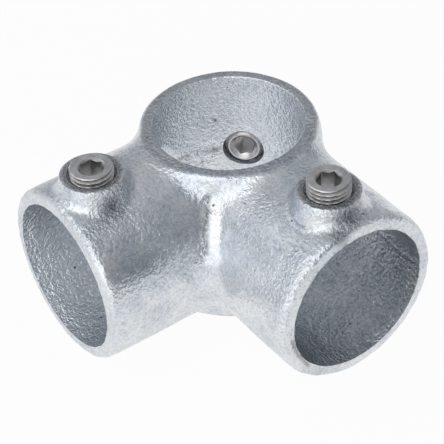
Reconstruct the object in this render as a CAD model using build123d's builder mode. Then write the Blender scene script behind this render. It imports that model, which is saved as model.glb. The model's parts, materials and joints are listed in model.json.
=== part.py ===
from build123d import *
import math
import os

# Tube clamp fitting for round tube: one upright tube passes through a ring, and two level sockets
# leave the ring at 90 degrees to each other. The origin is where the three tube axes cross. The
# ring's axis is Z, one socket opens along +X and the other along -Y.

# ---- driving sizes, millimetres ----------------------------------------------------------------

# the round tube that every opening takes
tube_diameter = 48.3
bore_clearance = 0.9  # on the diameter

# the casting
socket_reach = 66.0  # ring axis to the mouth of each socket
socket_wall = 4.9
ring_margin = 0.5  # how much thicker the ring's wall is than the sockets'
ring_rise = 0.2  # faces of the ring beyond the crowns of the sockets
shoulder_drop = 7.7  # from the ring's face back to where its wall starts to draw in
shoulder_radius = 20.0  # of the curve with which it draws in
shoulder_turn = 54.0  # degrees of that curve, which runs on past the face for the blends
junction_fillet = 8.5  # concave blends where the ring and the sockets meet
rim_round = 2.0  # outer edge of the ring's two faces
bore_edge = 0.4  # rounded inner edge of the same faces
mouth_round = 2.3  # outer edge of the socket mouths

# the raised bosses of the set screws
boss_rise = 5.2  # spot face above the socket's wall
boss_top_diameter = 20.2
boss_taper = 15.0  # degrees on each side
boss_fillet = 3.5  # concave blend at the foot
boss_edge = 0.4  # rounded edge of the spot face
screw_from_mouth = 14.3

# the hollow hexagon set screws
screw_diameter = 14.0
screw_length = 12.0
thread_clearance = 0.04  # radial, screw in its tapped hole
lead_in = 0.8  # countersink at the outer end of a tapped hole
hex_across_flats = 7.0
hex_lead_in = 0.6  # countersink at the mouth of the hexagon
top_bevel = 0.5
tip_bevel = 1.6
cup_depth = 1.2  # hollow cone in the tip, at 45 degrees
cup_edge = 0.5  # flat left between the cup and the bevel
proud_x = 4.2  # how far each screw stands above its spot face
proud_y = 2.5
proud_ring = 2.3
hex_turn_x = -3.0  # degrees, how far each screw's hexagon is turned about its axis
hex_turn_y = 63.0
hex_turn_ring = 22.0

# room left round the casting for blanks and cuts that are trimmed flush afterwards
overrun = 16.0

# ---- sizes worked out from them ----------------------------------------------------------------

bore_radius = (tube_diameter + bore_clearance) / 2
socket_radius = bore_radius + socket_wall
ring_radius = socket_radius + ring_margin
ring_top = socket_radius + ring_rise
shoulder_height = ring_top - shoulder_drop
boss_height = socket_radius + boss_rise  # tube axis to the spot face
boss_top_radius = boss_top_diameter / 2
boss_depth = boss_height - bore_radius
screw_reach = socket_reach - screw_from_mouth
screw_radius = screw_diameter / 2
tapped_radius = screw_radius + thread_clearance
hex_corner_radius = hex_across_flats / 2 / math.cos(math.radians(30))
cup_mouth_radius = screw_radius - tip_bevel - cup_edge

# ---- where the three screws sit: on each socket near its mouth, and on the far side of the ring
# ---- from both sockets, halfway up. Each plane faces outwards and starts at the tube's axis

screw_x_plane = Plane(origin=(screw_reach, 0, 0), x_dir=(1, 0, 0), z_dir=(0, 0, 1))
screw_y_plane = Plane(origin=(0, -screw_reach, 0), x_dir=(0, -1, 0), z_dir=(0, 0, 1))
screw_ring_plane = Plane(origin=(0, 0, 0), x_dir=(0, 0, 1), z_dir=(-1, 1, 0))
screw_planes = [screw_x_plane, screw_y_plane, screw_ring_plane]
spot_faces = [plane.offset(boss_height) for plane in screw_planes]

# ---- the casting -------------------------------------------------------------------------------

with BuildPart() as fitting_body:
    # tall ring blank, drawn in at both ends, and long socket blanks, blended where they meet
    with BuildSketch(Plane.YZ):
        with BuildLine():
            wall = Line((ring_radius, -shoulder_height), (ring_radius, shoulder_height))
            shoulder = JernArc(wall @ 1, wall % 1, shoulder_radius, shoulder_turn)
            foot = JernArc(wall @ 0, -(wall % 0), shoulder_radius, -shoulder_turn)
            Polyline(shoulder @ 1, (0, (shoulder @ 1).Y), (0, (foot @ 1).Y), foot @ 1)
        make_face()
    revolve(axis=Axis.Z)
    with BuildSketch(Plane.YZ, -Plane.ZX):
        Circle(socket_radius)
    extrude(amount=socket_reach + overrun)
    meeting_edges = fitting_body.edges().filter_by(GeomType.LINE, reverse=True)
    meeting_edges = meeting_edges.filter_by(GeomType.CIRCLE, reverse=True)
    fillet(meeting_edges, radius=junction_fillet)

    # the ring's flat faces and their rounded outer edges
    split(bisect_by=Plane.XY.offset(ring_top), keep=Keep.BOTTOM)
    split(bisect_by=Plane.XY.offset(-ring_top), keep=Keep.TOP)
    ring_faces = fitting_body.faces().filter_by(Plane.XY)
    fillet(ring_faces.edges(), radius=rim_round)

    # tapered bosses, rounded round their spot faces and blended into the walls
    edges_before = fitting_body.edges()
    with BuildSketch(*[-plane for plane in spot_faces]):
        Circle(boss_top_radius)
    extrude(amount=boss_depth, taper=-boss_taper)
    boss_edges = fitting_body.edges() - edges_before
    fillet(boss_edges.filter_by(GeomType.CIRCLE), radius=boss_edge)
    fillet(boss_edges.filter_by(GeomType.BSPLINE), radius=boss_fillet)

    # the socket mouths and their rounded outer edges
    split(bisect_by=Plane.YZ.offset(socket_reach), keep=Keep.BOTTOM)
    split(bisect_by=Plane.XZ.offset(socket_reach), keep=Keep.BOTTOM)
    mouths = [fitting_body.faces().sort_by(Axis.X)[-1], fitting_body.faces().sort_by(Axis.Y)[0]]
    fillet([edge for mouth in mouths for edge in mouth.edges()], radius=mouth_round)

    # the three bores, open to each other
    with BuildSketch(Plane.XY):
        Circle(bore_radius)
    extrude(amount=ring_top + overrun, both=True, mode=Mode.SUBTRACT)
    passage_edges = fitting_body.edges().filter_by(GeomType.CIRCLE)
    passage_edges = passage_edges.filter_by(lambda edge: abs(edge.radius - bore_radius) < bore_edge)
    fillet(passage_edges, radius=bore_edge)
    with BuildSketch(Plane.YZ, -Plane.ZX):
        Circle(bore_radius)
    extrude(amount=socket_reach + overrun, mode=Mode.SUBTRACT)

    # tapped holes with a countersunk start
    with BuildSketch(*screw_planes):
        Circle(tapped_radius)
    extrude(amount=boss_height + overrun, mode=Mode.SUBTRACT)
    hole_edges = fitting_body.faces().filter_by(GeomType.PLANE).edges().filter_by(GeomType.CIRCLE)
    hole_edges = hole_edges.filter_by(lambda edge: abs(edge.radius - tapped_radius) < thread_clearance)
    chamfer(hole_edges, length=lead_in)

fitting_body.part.label = "fitting_body"

# ---- the set screws, all alike: a hexagon right through, a bevelled top and a cup point --------

screw_places = {
    "set_screw_x": (screw_x_plane, proud_x, hex_turn_x),
    "set_screw_y": (screw_y_plane, proud_y, hex_turn_y),
    "set_screw_ring": (screw_ring_plane, proud_ring, hex_turn_ring),
}

set_screws = []
for node, (screw_plane, proud, hex_turn) in screw_places.items():
    top_plane = screw_plane.offset(boss_height + proud)
    tip_plane = top_plane.offset(-screw_length)
    screw_axis = Axis(tip_plane.origin, tip_plane.z_dir)
    with BuildPart() as set_screw:
        with BuildSketch(tip_plane):
            Circle(screw_radius)
        extrude(amount=screw_length)
        chamfer(set_screw.edges().group_by(screw_axis)[0], length=tip_bevel)
        chamfer(set_screw.edges().group_by(screw_axis)[-1], length=top_bevel)

        # the cup in the tip
        with BuildSketch(tip_plane):
            Circle(cup_mouth_radius)
        extrude(amount=cup_depth, taper=45, mode=Mode.SUBTRACT)

        # the hexagon and the countersink at its mouth
        with BuildSketch(tip_plane):
            RegularPolygon(hex_across_flats / 2, 6, major_radius=False, rotation=hex_turn)
        extrude(amount=screw_length, mode=Mode.SUBTRACT)
        with BuildSketch(-top_plane):
            Circle(hex_corner_radius + hex_lead_in / 2)
        extrude(amount=hex_lead_in, taper=45, mode=Mode.SUBTRACT)
    set_screw.part.label = node
    set_screws.append(set_screw.part)

# ---- written out -------------------------------------------------------------------------------

os.makedirs("parts", exist_ok=True)
export_step(fitting_body.part, "parts/fitting_body.step")
for set_screw_part in set_screws:
    export_step(set_screw_part, f"parts/{set_screw_part.label}.step")
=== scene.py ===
import json
import math

import bpy
import numpy as np
from mathutils import Matrix, Vector, kdtree, noise

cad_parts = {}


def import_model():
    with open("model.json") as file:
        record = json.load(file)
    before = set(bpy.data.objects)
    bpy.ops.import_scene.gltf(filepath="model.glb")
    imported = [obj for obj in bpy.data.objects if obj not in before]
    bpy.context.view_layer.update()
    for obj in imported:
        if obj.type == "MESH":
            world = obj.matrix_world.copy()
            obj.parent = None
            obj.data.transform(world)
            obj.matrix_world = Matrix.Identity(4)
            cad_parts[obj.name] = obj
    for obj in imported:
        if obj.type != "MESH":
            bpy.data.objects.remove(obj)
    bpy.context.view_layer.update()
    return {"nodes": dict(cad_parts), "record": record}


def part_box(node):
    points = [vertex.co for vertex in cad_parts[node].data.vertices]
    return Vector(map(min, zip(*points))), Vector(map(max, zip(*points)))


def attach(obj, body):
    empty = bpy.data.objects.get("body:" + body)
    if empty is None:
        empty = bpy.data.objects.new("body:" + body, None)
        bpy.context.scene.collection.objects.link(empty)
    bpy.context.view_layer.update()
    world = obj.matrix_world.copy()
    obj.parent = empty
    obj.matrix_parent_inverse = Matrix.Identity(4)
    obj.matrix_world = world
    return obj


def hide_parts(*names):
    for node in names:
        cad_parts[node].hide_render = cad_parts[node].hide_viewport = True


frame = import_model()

MM = 0.001

# ---- sizes, in metres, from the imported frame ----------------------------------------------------

MOUNTS = {mount["name"]: mount for mount in frame["record"]["mounts"]}
MOST_FACES = 190000
BORE_RADIUS = MOUNTS["socket_x"]["dims"]["r_mm"] * MM
CASTING_LOW, CASTING_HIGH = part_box("fitting_body")
REACH = CASTING_HIGH.x
RING_TOP = -CASTING_LOW.z
SPOT_HEIGHT = CASTING_HIGH.z  # from a tube's axis to the spot face of its screw
SCREW_LOW, SCREW_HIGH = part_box("set_screw_x")
SCREW_RADIUS = (SCREW_HIGH.x - SCREW_LOW.x) / 2
SCREW_LENGTH = SCREW_HIGH.z - SCREW_LOW.z
SCREWS = ("x", "y", "ring")  # the names of the screws and of their mounts end so

# ---- sizes of the screws that the frame doesn't say, as in the CAD ------------------------------

THREAD_PITCH = 1.5 * MM
THREAD_DEPTH = 0.92 * MM
HEX_ACROSS_FLATS = 7.0 * MM
COUNTERSINK_RADIUS = 4.34 * MM
TOP_BEVEL = 0.5 * MM
TIP_BEVEL = 1.6 * MM
CUP_RADIUS = 4.9 * MM
SPOT_RADIUS = 9.7 * MM  # of the bare ring round each screw


# ---- mesh helpers -------------------------------------------------------------------------------


def unit(vectors):
    """Each row of vectors, made one long."""
    return vectors / np.maximum(np.linalg.norm(vectors, axis=-1, keepdims=True), 1e-12)


def noise_at(places, size, seed):
    """Smooth noise between about -1 and 1 at each place, with lumps of about the given size."""
    shift = Vector((seed * 3.7, seed * 1.3 + 5.0, seed * 2.1))
    return np.array([noise.noise(Vector(place) + shift) for place in places / size])


def fade(values, start, end):
    """0 at start, 1 at end, smooth in between; start may be the larger."""
    t = np.clip((values - start) / (end - start), 0, 1)
    return t * t * (3 - 2 * t)


def cad_surface(node):
    """A CAD node's points, its triangles, and the normal at each triangle's corners."""
    mesh = frame["nodes"][node].data
    mesh.calc_loop_triangles()
    places = np.empty(len(mesh.vertices) * 3)
    mesh.vertices.foreach_get("co", places)
    corners = np.empty(len(mesh.loop_triangles) * 3, np.int32)
    mesh.loop_triangles.foreach_get("loops", corners)
    of_vertex = np.empty(len(mesh.loops), np.int32)
    mesh.loops.foreach_get("vertex_index", of_vertex)
    normals = np.empty(len(mesh.loops) * 3)
    mesh.corner_normals.foreach_get("vector", normals)
    places = places.reshape(-1, 3)
    normals = normals.reshape(-1, 3)[corners].reshape(-1, 3, 3)
    _, first, joined = np.unique(
        np.round(places * 1e7).astype(np.int64), axis=0, return_index=True, return_inverse=True
    )
    triangles = joined.reshape(-1)[of_vertex[corners]].reshape(-1, 3)
    a, b, c = triangles.T
    sound = (a != b) & (b != c) & (c != a)
    return places[first], triangles[sound], normals[sound]


def triangle_edges(triangles):
    """Every edge once, and for each triangle the rows of its edges 0-1, 1-2 and 2-0."""
    pairs = np.sort(np.stack([triangles, np.roll(triangles, -1, axis=1)], axis=2), axis=2)
    wide = int(triangles.max()) + 1
    keys, rows = np.unique(pairs[..., 0] * wide + pairs[..., 1], return_inverse=True)
    return np.stack([keys // wide, keys % wide], axis=1), rows.reshape(-1, 3)


def halve_long_edges(points, triangles, normals, longest):
    """Halves the longest edge of each triangle where it is too long, and of each triangle that such
    a cut would otherwise leave narrow. New points stand on the curved surface that the corner
    normals describe: each face asks for an offset along its own normal, and the least one that
    gives every face what it asks is taken, so sharp edges stay on both of their faces."""
    edges, rows = triangle_edges(triangles)
    ends = points[edges]
    lengths = np.linalg.norm(ends[:, 1] - ends[:, 0], axis=1)
    too_long = lengths > longest(ends.mean(axis=1))
    own_longest = rows[np.arange(len(rows)), lengths[rows].argmax(axis=1)]
    cut = np.zeros(len(edges), bool)
    cut[own_longest[too_long[own_longest]]] = True
    if not cut.any():
        return points, triangles, normals, False
    left_narrow = cut[rows].any(axis=1) & ~cut[own_longest]
    while left_narrow.any():
        cut[own_longest[left_narrow]] = True
        left_narrow = cut[rows].any(axis=1) & ~cut[own_longest]

    next_normals = np.roll(normals, -1, axis=1)
    run = points[np.roll(triangles, -1, axis=1)] - points[triangles]
    middle_normals = unit(normals + next_normals)
    bulge = (
        (run * next_normals).sum(2)[..., None] * next_normals
        - (run * normals).sum(2)[..., None] * normals
    ) / 8
    asked = (bulge * middle_normals).sum(2)
    needs = np.zeros((len(edges), 3, 3))
    wanted = np.zeros((len(edges), 3))
    np.add.at(needs, rows, middle_normals[..., :, None] * middle_normals[..., None, :])
    np.add.at(wanted, rows, asked[..., None] * middle_normals)
    needs += np.eye(3) * 1e-3
    offset = np.linalg.solve(needs[cut], wanted[cut][..., None])[..., 0]
    middle_of = np.full(len(edges), -1)
    middle_of[cut] = len(points) + np.arange(cut.sum())
    points = np.concatenate([points, ends[cut].mean(axis=1) + offset])

    split = cut[rows]
    count = split.sum(axis=1)
    new_triangles, new_normals = [triangles[count == 0]], [normals[count == 0]]

    def add(chosen, corners, corner_normals):
        new_triangles.append(np.stack(corners, axis=1)[chosen])
        new_normals.append(np.stack(corner_normals, axis=1)[chosen])

    for turn in range(3):
        t = np.roll(triangles, -turn, axis=1)
        n = np.roll(normals, -turn, axis=1)
        m = middle_of[np.roll(rows, -turn, axis=1)]
        k = np.roll(middle_normals, -turn, axis=1)
        s = np.roll(split, -turn, axis=1)
        one = (count == 1) & s[:, 0]
        add(one, (t[:, 0], m[:, 0], t[:, 2]), (n[:, 0], k[:, 0], n[:, 2]))
        add(one, (m[:, 0], t[:, 1], t[:, 2]), (k[:, 0], n[:, 1], n[:, 2]))
        two = (count == 2) & ~s[:, 2]
        add(two, (m[:, 0], t[:, 1], m[:, 1]), (k[:, 0], n[:, 1], k[:, 1]))
        add(two, (t[:, 0], m[:, 0], m[:, 1]), (n[:, 0], k[:, 0], k[:, 1]))
        add(two, (t[:, 0], m[:, 1], t[:, 2]), (n[:, 0], k[:, 1], n[:, 2]))
    three = count == 3
    t, n, m, k = triangles, normals, middle_of[rows], middle_normals
    for i in range(3):
        j = (i + 2) % 3
        add(three, (t[:, i], m[:, i], m[:, j]), (n[:, i], k[:, i], k[:, j]))
    add(three, (m[:, 0], m[:, 1], m[:, 2]), (k[:, 0], k[:, 1], k[:, 2]))
    return points, np.concatenate(new_triangles), np.concatenate(new_normals), True


def make_mesh(name, points, faces, sharp_angle=math.pi, marks=(), most_faces=0):
    """A smooth-shaded mesh object, thinned to most_faces where it has more. Edges that turn by
    more than sharp_angle are sharp, and marks are named values, one for each point, for the
    material to read."""
    mesh = bpy.data.meshes.new(name)
    mesh.from_pydata([tuple(p) for p in points], [], [tuple(int(i) for i in f) for f in faces])
    mesh.polygons.foreach_set("use_smooth", np.ones(len(mesh.polygons), bool))
    for mark, values in dict(marks).items():
        mesh.attributes.new(mark, "FLOAT", "POINT").data.foreach_set("value", values)
    mesh.validate()
    obj = bpy.data.objects.new(name, mesh)
    bpy.context.scene.collection.objects.link(obj)
    if 0 < most_faces < len(faces):
        thin = obj.modifiers.new("thin", "DECIMATE")
        thin.ratio = most_faces / len(faces)
        evaluated = obj.evaluated_get(bpy.context.evaluated_depsgraph_get())
        obj.data = bpy.data.meshes.new_from_object(evaluated)
        obj.modifiers.clear()
    obj.data.set_sharp_from_angle(angle=sharp_angle)
    return obj


# ---- the casting: the CAD surface, cut fine and given the relief of a dipped casting -------------


def bore_depth(places):
    """How far each place lies inside the wall of the nearest bore, in metres; below 0 is in it."""
    x, y, z = places.T
    in_ring = np.hypot(x, y)
    in_x = np.where(x > 0, np.hypot(y, z), 1.0)
    in_y = np.where(y < 0, np.hypot(x, z), 1.0)
    return np.minimum(np.minimum(in_ring, in_x), in_y) - BORE_RADIUS


def longest_edge(places):
    """The longest edge allowed at a place: fine on the outside, coarser in the bores."""
    return np.where(bore_depth(places) < 0.3 * MM, 2.0 * MM, 1.25 * MM)


def casting():
    points, triangles, normals = cad_surface("fitting_body")
    again = True
    while again:
        points, triangles, normals, again = halve_long_edges(points, triangles, normals, longest_edge)

    # relief along the mean normal of each point, kept inside the box of the true form
    lean = np.zeros_like(points)
    first, second, third = points[triangles].transpose(1, 0, 2)
    areas = np.linalg.norm(np.cross(second - first, third - first), axis=1)
    for corner in range(3):
        np.add.at(lean, triangles[:, corner], normals[:, corner] * areas[:, None])
    bare = bare_spots(points)
    height, marks = relief(points, bare)
    points = points + unit(lean) * height[:, None]
    points = np.clip(points, CASTING_LOW, CASTING_HIGH)
    made = make_mesh("casting", points, triangles, math.radians(38), marks, MOST_FACES)
    for vertex in made.data.vertices:
        vertex.co = np.clip(vertex.co, CASTING_LOW, CASTING_HIGH)
    print("casting triangles", len(triangles), len(made.data.polygons))
    return made


def from_screw(places, name):
    """How far along a screw's axis from its tube's, and how far off it, each place lies."""
    axis = np.array(MOUNTS["key_" + name]["axis"])
    run = places - np.array(MOUNTS["key_" + name]["pos_m"])
    return places @ axis, np.linalg.norm(run - (run @ axis)[:, None] * axis, axis=1)


def bare_spots(places):
    """1 on the spot faces, which were cut after dipping."""
    bare = np.zeros(len(places))
    ragged = 0.4 * MM * noise_at(places, 1.5 * MM, 11)
    for name in SCREWS:
        along, off = from_screw(places, name)
        on_face = fade(along, SPOT_HEIGHT - 0.5 * MM, SPOT_HEIGHT - 0.15 * MM)
        on_face *= fade(off, SCREW_RADIUS + 0.5 * MM, SCREW_RADIUS + 0.9 * MM)
        ring = fade(off + ragged, SPOT_RADIUS + 0.2 * MM, SPOT_RADIUS - 0.3 * MM)
        bare = np.maximum(bare, on_face * ring)
    return bare


def patch(places, place, radius):
    """1 at a place, in mm, falling to 0 round it."""
    off = np.linalg.norm(places - np.array(place) * MM, axis=1) / (radius * MM)
    return np.exp(-off * off)


def crease(places, line, width=0.65):
    """1 along a line through the given places, falling to 0 beside it, all in mm."""
    nearest = np.full(len(places), 1.0)
    line = np.array(line) * MM
    for start, end in zip(line, line[1:]):
        run = end - start
        along = np.clip((places - start) @ run / (run @ run), 0, 1)
        off = np.linalg.norm(places - start - along[:, None] * run, axis=1)
        nearest = np.minimum(nearest, off)
    return np.exp(-((nearest / (width * MM)) ** 2))


def near(values, edge, width):
    """1 at the edge, falling to 0 at the width below it."""
    return fade(values, edge - width, edge - 0.3 * width)


def relief(places, bare):
    """Height of the cast and dipped surface over the true form, in metres, and the named marks of
    its skin: bare iron, painted shade along its folds and in its pits, how lively the pebbling is,
    and dark mottling with painted shade low in socket x and on the ring faces and, below 0,
    painted light in the ring bore, in socket y and on the mouth rims."""
    x, y, z = places.T
    broad = noise_at(places, 17 * MM, 1)
    middle = noise_at(places, 6.5 * MM, 2)
    fine = noise_at(places, 2.3 * MM, 3)
    wash = noise_at(places, 13 * MM, 4)
    rim = np.maximum(near(x, REACH, 4.5 * MM), near(-y, REACH, 4.5 * MM))
    boss, hole = np.zeros((2, len(places)))
    for name in SCREWS:
        along, off = from_screw(places, name)
        above = fade(along, SPOT_HEIGHT - 6.5 * MM, SPOT_HEIGHT - 3 * MM)
        boss = np.maximum(boss, above * fade(off, 15 * MM, 12 * MM))
        in_hole = fade(off, SCREW_RADIUS + 1.1 * MM, SCREW_RADIUS + 0.4 * MM)
        hole = np.maximum(hole, in_hole * (along > 0))
    smooth = np.zeros(len(places))
    for place, radius in SMOOTH_RUNS:
        smooth = np.maximum(smooth, patch(places, place, radius))
    mottling_and_painted_shading = np.zeros(len(places))
    for place, radius in DARK_PATCHES:
        mottling_and_painted_shading = np.maximum(mottling_and_painted_shading, patch(places, place, radius))
    in_bore = bore_depth(places) < 0.3 * MM
    in_socket_x = in_bore & (x > BORE_RADIUS)
    on_ring_face = np.abs(z) > RING_TOP - 0.12 * MM
    on_ring_face &= np.hypot(x, y) < BORE_RADIUS + 4.2 * MM
    # painted shade: darker lower down inside socket x, and on the ring faces
    painted_shade_low_in_socket_x = 0.1 + 0.33 * fade(z, 12 * MM, -10 * MM)
    mottling_and_painted_shading = np.maximum(mottling_and_painted_shading, painted_shade_low_in_socket_x * in_socket_x)
    mottling_and_painted_shading = np.maximum(mottling_and_painted_shading, 0.33 * on_ring_face)
    # painted light: paler inside the ring bore and socket y, and a painted highlight on the mouth rims
    mottling_and_painted_shading -= 0.6 * (in_bore & ~in_socket_x) + 0.25 * rim * ~in_bore
    lively = 0.5 + 0.75 * wash + 0.35 * rim + 0.35 * boss + 0.7 * np.maximum(mottling_and_painted_shading, 0)
    lively = np.clip(lively, 0.2, 1.4) * (1 - 0.85 * smooth)

    lively = np.maximum(lively, 0.75 * in_bore)
    height = (0.12 * broad + 0.08 * middle) * np.where(in_bore, 0.45, 1.0) + 0.06 * lively * fine
    height -= rim * (0.20 - 0.18 * noise_at(places, 3.2 * MM, 5))
    for line in CREASES:
        height -= 0.2 * crease(places, line)
    for line in RIDGES:
        height += 0.25 * crease(places, line) * (0.8 + fine)
    height += 0.14 * crease(places, SEAM, 1.2)
    # painted shade along the folds of the skin
    painted_shade_and_specks = 0.75 * np.max([crease(places, line) for line in CREASES], axis=0)
    tree = kdtree.KDTree(len(places))
    for index, place in enumerate(places):
        tree.insert(place, index)
    tree.balance()
    random = np.random.default_rng(4)
    # pits pressed into the skin, each with painted shade in its hollow
    for spot in random.uniform(CASTING_LOW, CASTING_HIGH, (1100, 3)):
        centre, _, off = tree.find(spot)
        radius = random.uniform(0.45, 0.8) * MM
        if off < 1.2 * MM:
            for _, index, off in tree.find_range(centre, 2.5 * radius):
                dent = math.exp(-((off / radius) ** 2))
                height[index] -= 0.16 * dent
                painted_shade_and_specks[index] = max(painted_shade_and_specks[index], 0.35 * dent)
    height = height * (1 - 0.8 * bare) - 0.05 * bare * (1 + fine)
    height = height * (1 - hole) - 0.08 * hole  # the screws run free in the tapped holes
    return height * MM, {"bare": bare, "painted_shade_and_specks": painted_shade_and_specks, "lively": lively, "mottling_and_painted_shading": mottling_and_painted_shading}


# where the zinc ran smooth, and where it stayed dark and mottled: place and radius, in mm
SMOOTH_RUNS = [((31, -30, 7), 6), ((26, -26, 17), 6), ((31, -30, -8), 8), ((30, -23, 17), 6),
               ((8, -62, 29), 3.5), ((54, -12, 29), 4)]
# folds in the cast skin, flash left on it, and the seam of the mould: places along each, in mm
CREASES = [[(20.5, -22.5, 23.5), (23, -25, 19.5), (26, -28, 16), (29.5, -30.5, 10)],
           [(-24, -5.5, 2), (-24.5, 0, 1), (-23.5, 7.5, 0.5), (-22, 11, -0.5)],
           [(66, -25.5, -3), (66, -23.5, -10), (66, -19.5, -17)]]
RIDGES = [[(34, 24.5, 1.5), (47, 24.5, 1), (52, 24.5, 0), (66, 24.5, 0)],
          [(66, 25, 0.5), (66, 28.5, -1)], [(66, -27, -7), (66, -24, -15)],
          [(64, -24, -17), (66, -20, -20)]]
SEAM = [(34, 29.5, 0), (66, 29.5, 0)]
DARK_PATCHES = [((62.5, -1, 31), 5.2), ((65, -6, 28), 3.8), ((11.5, -53, 29), 3.8)]


# ---- a set screw: a hollow hexagon, a cup point and a thread cut all the way up ------------------


def hexagon_turn(name):
    """The angle of a corner of the screw's hexagon in the CAD, from the screw's own u."""
    u, v, w, tip = screw_axes(name)
    places = cad_surface("set_screw_" + name)[0] - tip
    across, up = places @ u, places @ v
    corner = HEX_ACROSS_FLATS / 2 / math.cos(math.radians(30))
    at_corner = np.abs(np.hypot(across, up) - corner) < 0.02 * MM
    return np.angle(np.exp(6j * np.arctan2(up, across)[at_corner]).mean()) / 6


def screw_axes(name):
    """Two directions across the screw, the one along it, outwards, and the middle of its tip."""
    mount = MOUNTS["key_" + name]
    w = unit(np.array(mount["axis"], float))
    u = unit(np.cross(w, (0.3, 0.5, 0.81)))
    return u, np.cross(w, u), w, np.array(mount["pos_m"]) - SCREW_LENGTH * w


def screw(name):
    u, v, w, tip = screw_axes(name)
    turn = hexagon_turn(name)
    around = 180
    angles = turn + np.arange(around) * 2 * math.pi / around
    sixth = (angles - turn) % (math.pi / 3) - math.pi / 6
    hexagon = HEX_ACROSS_FLATS / 2 / np.cos(sixth)
    same = np.ones(around)

    # rows of radius and height, from the foot of the hexagon round the outside and back to it
    rows = [(hexagon, CUP_RADIUS - hexagon), (CUP_RADIUS * same, 0 * same)]
    tip_edge = SCREW_RADIUS - TIP_BEVEL
    rows.append((tip_edge * same, 0 * same))
    for height in np.arange(0.1 * MM, SCREW_LENGTH - 0.05 * MM, 0.1 * MM):
        phase = (height / THREAD_PITCH - angles / (2 * math.pi)) % 1
        from_crest = np.abs(phase - 0.5) * 2
        thread = SCREW_RADIUS - THREAD_DEPTH * np.clip((from_crest - 0.14) / 0.6, 0, 1)
        bevel = min(tip_edge + height, SCREW_RADIUS - TOP_BEVEL + SCREW_LENGTH - height)
        rows.append((np.minimum(thread, bevel), height * same))
    top_edge = SCREW_RADIUS - TOP_BEVEL
    for radius in np.linspace(top_edge, COUNTERSINK_RADIUS, 22):
        groove = 0.05 * MM * (1 - math.cos(2 * math.pi * (top_edge - radius) / (0.62 * MM)))
        rows.append((radius * same, (SCREW_LENGTH - groove) * same))
    top_of_hexagon = SCREW_LENGTH - COUNTERSINK_RADIUS + hexagon
    rows.append((hexagon, top_of_hexagon))
    for share in (0.25, 0.5, 0.75):
        foot = CUP_RADIUS - hexagon
        rows.append((hexagon, top_of_hexagon + (foot - top_of_hexagon) * share))

    # the grid of points, with the small dents of use
    radius = np.array([row[0] for row in rows])[..., None]
    height = np.array([row[1] for row in rows])[..., None]
    root = SCREW_RADIUS - THREAD_DEPTH
    threaded = (height > TIP_BEVEL + 0.2 * MM) & (height < SCREW_LENGTH - TOP_BEVEL)
    # painted shade in the thread roots, darkest at the root
    painted_hollow_shading = fade(radius, root + 0.45 * MM, root + 0.1 * MM) * threaded
    in_hexagon = (radius < HEX_ACROSS_FLATS * 0.6) & (height < SCREW_LENGTH - 0.9 * MM)
    painted_hollow_shading -= 0.7 * in_hexagon  # painted light in the hexagon socket, where it is below 0
    points = (radius * (np.cos(angles)[:, None] * u + np.sin(angles)[:, None] * v)
              + height * w + tip).reshape(-1, 3)
    outward = unit(points - tip - ((points - tip) @ w)[:, None] * w)
    dents = np.minimum(noise_at(points, 1.3 * MM, 7), 0)
    points = points + outward * (0.05 * MM * dents)[:, None]

    count = len(rows)
    row, column = np.meshgrid(np.arange(count), np.arange(around), indexing="ij")
    next_row, next_column = (row + 1) % count, (column + 1) % around
    faces = np.stack([row * around + column, row * around + next_column,
                      next_row * around + next_column, next_row * around + column], axis=-1)
    made = make_mesh("set_screw_" + name + "_threaded", points, faces.reshape(-1, 4),
                     math.radians(34), {"painted_hollow_shading": painted_hollow_shading.ravel()})
    made.data.materials.append(STEEL)
    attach(made, "screw_" + name)
    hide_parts("set_screw_" + name)
    return made


# ---- materials ----------------------------------------------------------------------------------


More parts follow.
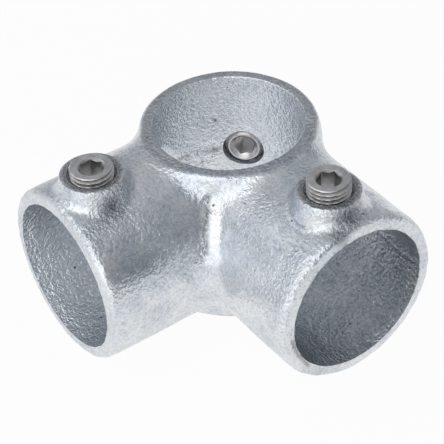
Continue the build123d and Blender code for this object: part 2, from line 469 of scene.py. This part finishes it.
class Shading:
    """A Principled material under construction, with short ways to add and join nodes."""

    def __init__(self, name):
        self.made = bpy.data.materials.new(name)
        self.made.use_nodes = True
        self.tree = self.made.node_tree
        self.shader = self.tree.nodes["Principled BSDF"]

    def node(self, kind, **values):
        """A new node; each value is an input's default or a property."""
        new = self.tree.nodes.new("ShaderNode" + kind)
        for key, value in values.items():
            name = key.replace("_", " ")
            if name in new.inputs:
                new.inputs[name].default_value = value
            else:
                setattr(new, key, value)
        return new

    def link(self, source, target):
        self.tree.links.new(source, target)

    def noise(self, where, size, detail=3.0, roughness=0.55, lacunarity=2.0):
        """Noise with lumps of about the given size, in metres."""
        texture = self.node("TexNoise", Scale=1 / size, Detail=detail, Roughness=roughness,
                            Lacunarity=lacunarity)
        self.link(where, texture.inputs["Vector"])
        return texture.outputs["Fac"]

    def ramp(self, value, *stops):
        """Colour by value: stops are pairs of a position and a colour or a grey."""
        ramp = self.node("ValToRGB")
        elements = ramp.color_ramp.elements
        while len(elements) < len(stops):
            elements.new(0.5)
        for element, (position, colour) in zip(elements, stops):
            element.position = position
            element.color = (colour,) * 3 + (1,) if isinstance(colour, float) else (*colour, 1)
        self.link(value, ramp.inputs["Fac"])
        return ramp.outputs["Color"]

    def mix(self, factor, first, second, blend="MIX"):
        """Two colours mixed; each may be a socket or a colour, and the factor a socket or number."""
        mix = self.node("Mix", data_type="RGBA", blend_type=blend)
        for socket, value in zip((mix.inputs[0], mix.inputs[6], mix.inputs[7]), (factor, first, second)):
            if isinstance(value, bpy.types.NodeSocket):
                self.link(value, socket)
            else:
                socket.default_value = (*value, 1) if isinstance(value, tuple) else value
        return mix.outputs[2]

    def math(self, operation, first, second):
        maths = self.node("Math", operation=operation)
        for socket, value in zip(maths.inputs, (first, second)):
            if isinstance(value, bpy.types.NodeSocket):
                self.link(value, socket)
            else:
                socket.default_value = value
        return maths.outputs[0]

    def span(self, value, low, high):
        """A value from 0 to 1, moved to the span from low to high."""
        span = self.node("MapRange")
        span.inputs["To Min"].default_value = low
        span.inputs["To Max"].default_value = high
        self.link(value, span.inputs["Value"])
        return span.outputs["Result"]

    def bump(self, height, strength, distance, normal=None):
        bump = self.node("Bump")
        bump.inputs["Distance"].default_value = distance
        if isinstance(strength, bpy.types.NodeSocket):
            self.link(strength, bump.inputs["Strength"])
        else:
            bump.inputs["Strength"].default_value = strength
        self.link(height, bump.inputs["Height"])
        if normal is not None:
            self.link(normal, bump.inputs["Normal"])
        return bump.outputs["Normal"]


def zinc():
    """Hot-dip zinc: pebbled, mottled blue-grey, with smooth bright runs and bare cut iron, dark
    specks, and painted shade and painted light from the casting's marks.
    """
    m = Shading("galvanised_zinc")
    where = m.node("TexCoord").outputs["Object"]
    bare, painted_shade_and_specks, lively, mottling_and_painted_shading = (
        m.node("Attribute", attribute_name=mark).outputs["Fac"]
        for mark in ("bare", "painted_shade_and_specks", "lively", "mottling_and_painted_shading")
    )
    patches = m.noise(where, 17 * MM, 4.0, 0.6)
    clouds = m.noise(where, 5 * MM, 3.0, 0.6)
    pebbles = m.noise(where, 1.15 * MM, 1.5, 0.5)
    grit = m.noise(where, 0.5 * MM, 2.0, 0.6)

    tone = m.ramp(patches, (0.34, (0.56, 0.60, 0.66)), (0.50, (0.67, 0.70, 0.735)),
                  (0.66, (0.76, 0.775, 0.79)))
    # dark mottling, and painted shade low in socket x and on the ring faces
    tone = m.mix(mottling_and_painted_shading, tone, (0.17, 0.18, 0.21))
    # painted light in the ring bore, in socket y and on the mouth rims, where the mark is below 0
    tone = m.mix(m.math("MULTIPLY", mottling_and_painted_shading, -1.0), tone, (0.82, 0.85, 0.89))
    tone = m.mix(0.5, tone, m.ramp(clouds, (0.35, 0.38), (0.65, 0.70)), "SOFT_LIGHT")
    tone = m.mix(0.6, tone, m.ramp(pebbles, (0.34, 0.24), (0.62, 0.68)), "SOFT_LIGHT")
    tone = m.mix(0.7, tone, m.ramp(grit, (0.36, 0.25), (0.60, 0.66)), "SOFT_LIGHT")
    cells = m.node("TexVoronoi", Scale=1 / (4.5 * MM))
    m.link(where, cells.inputs["Vector"])
    chosen = m.node("SeparateColor")
    m.link(cells.outputs["Color"], chosen.inputs[0])
    speck = m.math("ADD", cells.outputs["Distance"], m.math("MULTIPLY", grit, 0.05))
    speck = m.math("LESS_THAN", speck, m.span(chosen.outputs[0], -0.09, 0.135))
    painted_shade_and_specks = m.math("MAXIMUM", painted_shade_and_specks, speck)
    iron = m.ramp(grit, (0.35, (0.17, 0.17, 0.18)), (0.65, (0.50, 0.50, 0.51)))
    tone = m.mix(bare, tone, iron)
    # dark specks, and painted shade along the folds and in the pits
    tone = m.mix(m.math("MULTIPLY", painted_shade_and_specks, 0.85), tone, (0.09, 0.085, 0.08))
    m.link(tone, m.shader.inputs["Base Color"])

    rough = m.math("ADD", m.span(lively, 0.24, 0.31), m.math("MULTIPLY", bare, 0.18))
    m.link(rough, m.shader.inputs["Roughness"])

    normal = m.bump(clouds, 1.0, 0.30 * MM)
    normal = m.bump(pebbles, lively, 0.62 * MM, normal)
    normal = m.bump(grit, m.math("ADD", lively, bare), 0.20 * MM, normal)
    m.link(normal, m.shader.inputs["Normal"])
    m.shader.inputs["Metallic"].default_value = 0.92
    return m.made


def steel():
    """Plain turned steel: warm grey, with fine grain, painted shade in its thread roots and
    painted light in its hexagon socket.
    """
    m = Shading("screw_steel")
    where = m.node("TexCoord").outputs["Object"]
    painted_hollow_shading = m.node("Attribute", attribute_name="painted_hollow_shading").outputs["Fac"]
    grain = m.noise(where, 0.5 * MM, 3.0, 0.6)
    smears = m.noise(where, 3.0 * MM, 4.0, 0.65)
    tone = m.ramp(smears, (0.35, (0.50, 0.49, 0.49)), (0.65, (0.68, 0.67, 0.675)))
    tone = m.mix(0.5, tone, m.ramp(grain, (0.35, 0.30), (0.65, 0.64)), "SOFT_LIGHT")
    # painted shade in the thread roots
    tone = m.mix(m.math("MULTIPLY", painted_hollow_shading, 0.75), tone, (0.16, 0.15, 0.145))
    # painted light in the hexagon socket
    tone = m.mix(m.math("MULTIPLY", painted_hollow_shading, -1.0), tone, (0.92, 0.91, 0.91))
    m.link(tone, m.shader.inputs["Base Color"])
    m.link(m.span(smears, 0.26, 0.42), m.shader.inputs["Roughness"])
    m.link(m.bump(grain, 0.45, 0.06 * MM), m.shader.inputs["Normal"])
    m.shader.inputs["Metallic"].default_value = 1.0
    return m.made


ZINC = zinc()
STEEL = steel()

body = casting()
body.data.materials.append(ZINC)
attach(body, "casting")
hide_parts("fitting_body")

for screw_name in SCREWS:
    screw(screw_name)

# ---- stage, light and camera --------------------------------------------------------------------


def camera_axes(azimuth, elevation, roll):
    """Right, up and back of a camera that looks down at the elevation, in degrees."""
    a, e, r = (math.radians(v) for v in (azimuth, elevation, roll))
    back = Vector((math.sin(a) * math.cos(e), -math.cos(a) * math.cos(e), math.sin(e)))
    right = Vector((math.cos(a), math.sin(a), 0))
    up = back.cross(right)
    turned_right = right * math.cos(r) + up * math.sin(r)
    turned_up = up * math.cos(r) - right * math.sin(r)
    return turned_right, turned_up, back


def camera():
    right, up, back = camera_axes(56.37, 40.51, -3.30)
    target = Vector((0.015, -0.015, 0.0))
    data = bpy.data.cameras.new("camera")
    data.lens = 146.28
    data.sensor_width = 36.0
    data.shift_x = -0.0006
    data.shift_y = 0.0286
    data.clip_start, data.clip_end = 0.01, 20.0
    made = bpy.data.objects.new("camera", data)
    turn = Matrix((right, up, back)).transposed().to_4x4()
    made.matrix_world = Matrix.Translation(target + back * 0.58185) @ turn
    bpy.context.scene.collection.objects.link(made)
    bpy.context.scene.camera = made


def soft_light(name, azimuth, elevation, distance, size, brightness):
    """A square lamp that faces the object. Azimuth and elevation are as the camera's, and the
    brightness is what a mirror would show."""
    back = camera_axes(azimuth, elevation, 0)[2]
    data = bpy.data.lights.new(name, "AREA")
    data.shape = "RECTANGLE"
    data.size, data.size_y = size
    data.energy = brightness * math.pi * size[0] * size[1]
    made = bpy.data.objects.new(name, data)
    made.location = back * distance
    made.rotation_euler = back.to_track_quat("Z", "Y").to_euler()
    bpy.context.scene.collection.objects.link(made)


def floor():
    """A white floor that keeps a faint shadow; metal sees it white, as the camera nearly does."""
    m = Shading("pale_floor")
    where = m.node("TexCoord").outputs["Object"]
    m.link(m.ramp(m.noise(where, 0.4), (0.3, 0.86), (0.7, 0.88)), m.shader.inputs["Base Color"])
    m.shader.inputs["Roughness"].default_value = 0.8
    path = m.node("LightPath")
    white = m.math("MULTIPLY", path.outputs["Is Camera Ray"], 0.95)
    white = m.math("MAXIMUM", white, m.math("MULTIPLY", path.outputs["Is Glossy Ray"], 0.95))
    glow = m.node("Emission", Color=(1, 1, 1, 1), Strength=1.0)
    mix = m.node("MixShader")
    m.link(white, mix.inputs[0])
    m.link(m.shader.outputs[0], mix.inputs[1])
    m.link(glow.outputs[0], mix.inputs[2])
    m.link(mix.outputs[0], m.tree.nodes["Material Output"].inputs["Surface"])
    low = CASTING_LOW.z
    half = 3.0
    corners = [(-half, -half, low), (half, -half, low), (half, half, low), (-half, half, low)]
    plane = make_mesh("floor", corners, [(0, 1, 2, 3)])
    plane.data.materials.append(m.made)


DARK_SIDE = 118  # azimuth, in degrees, of the darkest side of the room


def world():
    """Soft grey surroundings, paler overhead than near the horizon, and white to the camera."""
    made = bpy.data.worlds.new("studio")
    made.use_nodes = True
    bpy.context.scene.world = made
    tree = made.node_tree
    background = tree.nodes["Background"]
    direction = tree.nodes.new("ShaderNodeTexCoord")
    parts = tree.nodes.new("ShaderNodeSeparateXYZ")
    ramp = tree.nodes.new("ShaderNodeValToRGB")
    stops = ramp.color_ramp.elements
    stops[0].position, stops[0].color = 0.0, (0.28, 0.30, 0.33, 1)
    stops[1].position, stops[1].color = 0.95, (0.55, 0.56, 0.58, 1)
    tree.links.new(direction.outputs["Generated"], parts.inputs[0])
    tree.links.new(parts.outputs["Z"], ramp.inputs["Fac"])
    facing = tree.nodes.new("ShaderNodeVectorMath")
    facing.operation = "DOT_PRODUCT"
    facing.inputs[1].default_value = -camera_axes(DARK_SIDE, 0, 0)[2]
    span = tree.nodes.new("ShaderNodeMapRange")
    for socket, value in zip(("From Min", "From Max", "To Min", "To Max"), (-0.9, 0.0, 0.72, 1.0)):
        span.inputs[socket].default_value = value
    tree.links.new(direction.outputs["Generated"], facing.inputs[0])
    tree.links.new(facing.outputs["Value"], span.inputs["Value"])
    tree.links.new(span.outputs["Result"], background.inputs["Strength"])
    tree.links.new(ramp.outputs["Color"], background.inputs["Color"])
    path = tree.nodes.new("ShaderNodeLightPath")
    white = tree.nodes.new("ShaderNodeBackground")
    white.inputs["Color"].default_value = (1, 1, 1, 1)
    mix = tree.nodes.new("ShaderNodeMixShader")
    tree.links.new(path.outputs["Is Camera Ray"], mix.inputs[0])
    tree.links.new(background.outputs[0], mix.inputs[1])
    tree.links.new(white.outputs[0], mix.inputs[2])
    tree.links.new(mix.outputs[0], tree.nodes["World Output"].inputs["Surface"])


camera()
floor()
world()
soft_light("key", 26, 32, 1.0, (1.5, 1.3), 1.08)
soft_light("left", -50, 30, 1.0, (0.6, 0.7), 0.5)
bpy.context.scene.view_settings.view_transform = "Standard"
